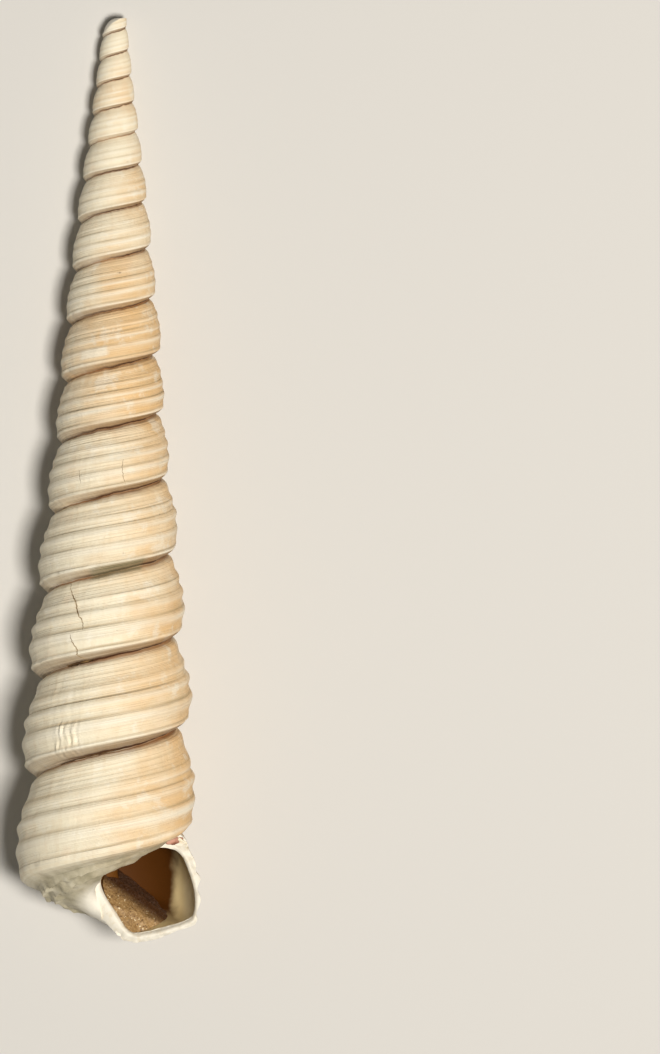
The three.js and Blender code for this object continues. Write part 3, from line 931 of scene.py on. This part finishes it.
def weathered_aragonite():
    """Shell of aragonite gone chalky in the ground: dull ivory, peach where iron has crept in.

    Its gloss is gone, so light and dark come from the cords, from dirt and painted shade along them and
    painted highlight on their crests, from thin lines of growth across the winding, and from brown clay
    that stays in the sutures.
    """
    made, tree, bsdf = new_finish("weathered_aragonite", "#EFE2C6", 0.72)
    turn, band = map_values(tree, "winding")
    _, place = map_values(tree, "place")
    dirt_and_shade, rubbed_and_highlight = map_values(tree, "wear_and_painted_light")
    clay, green = map_values(tree, "stain")
    body = in_millimetres(tree)
    patches = add(tree, "TexNoise", {"Vector": body, "Scale": 0.42, "Detail": 5.0, "Roughness": 0.68})

    # The base and the youngest whorls are smoother than the rest.
    smooth = add(tree, "MapRange", {"Value": band, "From Min": LAST_LINE, "From Max": LAST_LINE + 0.1,
                                    "To Min": 1.0, "To Max": 0.2})
    older = add(tree, "MapRange", {"Value": turn, "From Max": 6.0, "To Min": 0.30})
    lively = add(tree, "Math", {0: smooth, 1: older}, operation="MULTIPLY")

    growth = growth_lines(tree, turn, place)
    lines = add(tree, "MapRange", {"Value": growth, "From Min": 0.52, "From Max": 0.70, "To Max": 0.20})

    # Fine threads and streaks along the winding, some 0.3 mm apart.
    slow = add(tree, "Math", {0: turn, 1: 0.22}, operation="MULTIPLY")
    quick = add(tree, "Math", {0: place, 1: 5.0}, operation="MULTIPLY")
    along = add(tree, "CombineXYZ", {"X": slow, "Y": quick})
    threads = add(tree, "TexNoise", {"Vector": along, "Scale": 8.5, "Detail": 3.0, "Roughness": 0.6})
    streaks = add(tree, "MapRange", {"Value": threads, "From Min": 0.50, "From Max": 0.34,
                                     "To Max": 0.22})

    coats = iron_and_chalk(tree, turn, body, patches)
    coats += [("#E0C89E", lines, lively), ("#D6BB8F", streaks, lively)]
    # Dark lines along the cords are dirt and painted shade; the pale ones on the crests are rubbed and
    # painted highlight.
    coats += [("#B49B70", dirt_and_shade), ("#FAF3E0", rubbed_and_highlight)]
    coats += suture_clay(tree, along, place, clay, green)
    coats += base_and_mouth(tree, turn, band, patches)
    paint(tree, bsdf, "#F7EDD3", coats)

    # Relief too fine for the mesh: growth lines, threads, and the grain of chalk, 0.2 mm.
    chalk = add(tree, "TexNoise", {"Vector": body, "Scale": 4.0, "Detail": 3.0, "Roughness": 0.6})
    fine = add(tree, "Math", {0: chalk, 1: 0.5}, operation="MULTIPLY")
    stepped = add(tree, "MapRange", {"Value": threads, "From Min": 0.42, "From Max": 0.56},
                  interpolation_type="SMOOTHSTEP")
    for height, much in ((growth, 0.3), (stepped, 0.30), (dirt_and_shade, -1.5)):
        fine = add(tree, "Math", {0: height, 1: much, 2: fine}, operation="MULTIPLY_ADD")
    bump = add(tree, "Bump", {"Height": fine, "Strength": lively, "Distance": 0.10 * MM})
    tree.links.new(bump.outputs[0], bsdf.inputs["Normal"])
    return made


def fresh_break():
    """The same shell where it has broken: porcelain white and a little rough, with no stain."""
    made, tree, bsdf = new_finish("broken_aragonite", "#F0EADA", 0.62)
    body = in_millimetres(tree)
    grain = add(tree, "TexNoise", {"Vector": body, "Scale": 1.4, "Detail": 4.0, "Roughness": 0.6})
    tint = add(tree, "MapRange", {"Value": grain, "From Min": 0.50, "From Max": 0.80, "To Max": 0.7})
    paint(tree, bsdf, "#EFE9DA", [("#D9C8A2", tint)])
    bump = add(tree, "Bump", {"Height": grain, "Strength": 0.4, "Distance": 0.08 * MM})
    tree.links.new(bump.outputs[0], bsdf.inputs["Normal"])
    return made


def inner_wall():
    """Smooth inside of the whorl: khaki behind the outer lip, and brown all round elsewhere, partly iron
    stain and partly painted shade; deeper in, the brown is painted darker as painted shade, and near the
    lip the khaki is painted paler as painted light.

    Above the mouth it is the clean cream wall that the last whorl was built against.
    """
    made, tree, bsdf = new_finish("stained_and_shaded_inner_wall", "#B79A6E", 0.7)
    bsdf.inputs["Specular IOR Level"].default_value = 0.2
    body = in_millimetres(tree)
    x, y, z = add(tree, "SeparateXYZ", {"Vector": body}).outputs
    # Painted shade: the brown is painted darker deeper in, from z 9.3 mm down to 5.5 mm.
    deep = add(tree, "MapRange", {"Value": z, "From Min": 9.3, "From Max": 5.5},
               interpolation_type="SMOOTHSTEP")
    clouds = add(tree, "TexNoise", {"Vector": body, "Scale": 0.35, "Detail": 3.0})
    side = add(tree, "Math", {0: clouds, 1: 1.6, 2: x}, operation="MULTIPLY_ADD")
    khaki = add(tree, "MapRange", {"Value": side, "From Min": 7.0, "From Max": 8.3},
                interpolation_type="SMOOTHSTEP")
    floor = add(tree, "MapRange", {"Value": y, "From Min": -44.7, "From Max": -46.0},
                interpolation_type="SMOOTHSTEP")
    khaki = add(tree, "Math", {0: khaki, 1: floor}, operation="MAXIMUM")
    # Painted light: the khaki is painted paler toward the outer lip, where the rim shades the wall.
    painted_light_near_lip = add(tree, "MapRange", {"Value": x, "From Min": 7.6, "From Max": 9.0})
    khaki_with_painted_light = add(tree, "Mix", {"Factor": painted_light_near_lip, "A": "#F1D9A3", "B": "#FFF4D4"}, data_type="RGBA")
    outside = add(tree, "MapRange", {"Value": z, "From Min": 9.95, "From Max": 10.35})
    paint(tree, bsdf, "#6E430D", [("#542D03", deep), (khaki_with_painted_light, khaki), ("#E9DDC0", outside)])
    return made


def quartz_sand():
    """Loose sand, 0.1 to 0.25 mm: tan as a whole, with clear bright grains and dark ones.

    Where it falls away into the shell it is painted darker, as painted shade.
    """
    made, tree, bsdf = new_finish("quartz_sand", "#A5814F", 0.55)
    shade, loose = map_values(tree, "grain")
    body = in_millimetres(tree)
    specks = add(tree, "TexVoronoi", {"Vector": body, "Scale": 6.0}).outputs["Color"]
    tones = add(tree, "SeparateColor", {"Color": specks})
    tone = add(tree, "Mix", {"Factor": loose, "A": tones.outputs[0], "B": shade})
    light = add(tree, "MapRange", {"Value": tone, "From Min": 0.05, "From Max": 0.85})
    clear = add(tree, "Math", {0: tone, 1: 0.97}, operation="GREATER_THAN")
    dark = add(tree, "Math", {0: tone, 1: 0.04}, operation="LESS_THAN")
    # Painted shade: dark brown where the sand falls away into the shell.
    inward = add(tree, "VectorMath", {0: body, 1: SAND_INWARD}, operation="DOT_PRODUCT")
    painted_shade = add(tree, "MapRange", {"Value": inward.outputs["Value"], "From Min": SAND_SHADED_SPAN[0],
                                  "From Max": SAND_SHADED_SPAN[1]}, interpolation_type="SMOOTHSTEP")
    coats = [("#AF8D5D", light), ("#E6D3AC", clear), ("#6E5130", dark), ("#44260B", painted_shade)]
    paint(tree, bsdf, "#8E6D41", coats)
    return made


def dry_clay(name, dark, light):
    """Dry clay, caked at the bottom of cracks, pits and pockets."""
    made, tree, bsdf = new_finish(name, light, 0.9)
    clouds = add(tree, "TexNoise", {"Vector": in_millimetres(tree), "Scale": 1.5, "Detail": 4.0})
    mixed = add(tree, "MapRange", {"Value": clouds, "From Min": 0.35, "From Max": 0.65})
    paint(tree, bsdf, dark, [(light, mixed)])
    return made


# ---- Camera, light and floor -------------------------------------------------

CAMERA_LENS, CAMERA_FRAME = 300, 36    # mm: its focal length, and the long side of its frame
CAMERA_SPAN = 109.1    # mm of the shell's length direction that the frame takes in
CAMERA_AIM = (22.75, 52.5)    # mm: right of the axis, and depth, at the middle of the frame
CAMERA_ROLL = math.radians(0.56)


def make_camera():
    data = bpy.data.cameras.new("camera")
    data.lens = CAMERA_LENS
    data.sensor_width = CAMERA_FRAME
    data.clip_end = 20
    camera = put("camera", data)
    turned = Matrix.Rotation(-LEAN, 4, "X")
    aim = MM * (TIP_AXIS + turned @ Vector((CAMERA_AIM[0], -CAMERA_AIM[1], 0)))
    back = Matrix.Translation((0, 0, MM * CAMERA_SPAN * CAMERA_LENS / CAMERA_FRAME))
    rolled = Matrix.Rotation(CAMERA_ROLL, 4, "Z")
    camera.matrix_world = Matrix.Translation(aim) @ turned @ rolled @ back
    bpy.context.scene.camera = camera


def make_light(name, place, size, energy, colour):
    data = bpy.data.lights.new(name, "AREA")
    data.size = size
    data.energy = energy
    data.color = rgb(colour)[:3]
    light = put(name, data)
    light.location = place
    light.rotation_euler = Vector(place).to_track_quat("Z", "Y").to_euler()


def make_studio():
    world = bpy.data.worlds.new("studio")
    world.use_nodes = True
    world.node_tree.nodes["Background"].inputs["Color"].default_value = rgb("#F3F3F0")
    world.node_tree.nodes["Background"].inputs["Strength"].default_value = 0.085
    bpy.context.scene.world = world
    bpy.context.scene.view_settings.view_transform = "Standard"
    make_light("key", place=(0.15, -0.02, 0.61), size=0.14, energy=4.2, colour="#FFFAF2")
    make_light("fill", place=(-0.40, 0.22, 0.45), size=0.4, energy=0.06, colour="#F2F4F6")

    bm = bmesh.new()
    bmesh.ops.create_grid(bm, x_segments=1, y_segments=1, size=3)
    finish, _, _ = new_finish("pale_floor", "#D6D4D0", 0.9)
    piece_from(bm, "floor", finish)


FINISHES = {
    "shell": weathered_aragonite(),
    "broken": fresh_break(),
    "inner": inner_wall(),
    "crack": dry_clay("pale_clay", "#8A6F48", "#B49B72"),
    "gap": dry_clay("brown_clay", "#4E3216", "#86683E"),
    "pocket": dry_clay("rusty_clay", "#8A5238", "#C79A86"),
    "sand": quartz_sand(),
}
make_camera()
make_studio()
make_shell()
make_sand()
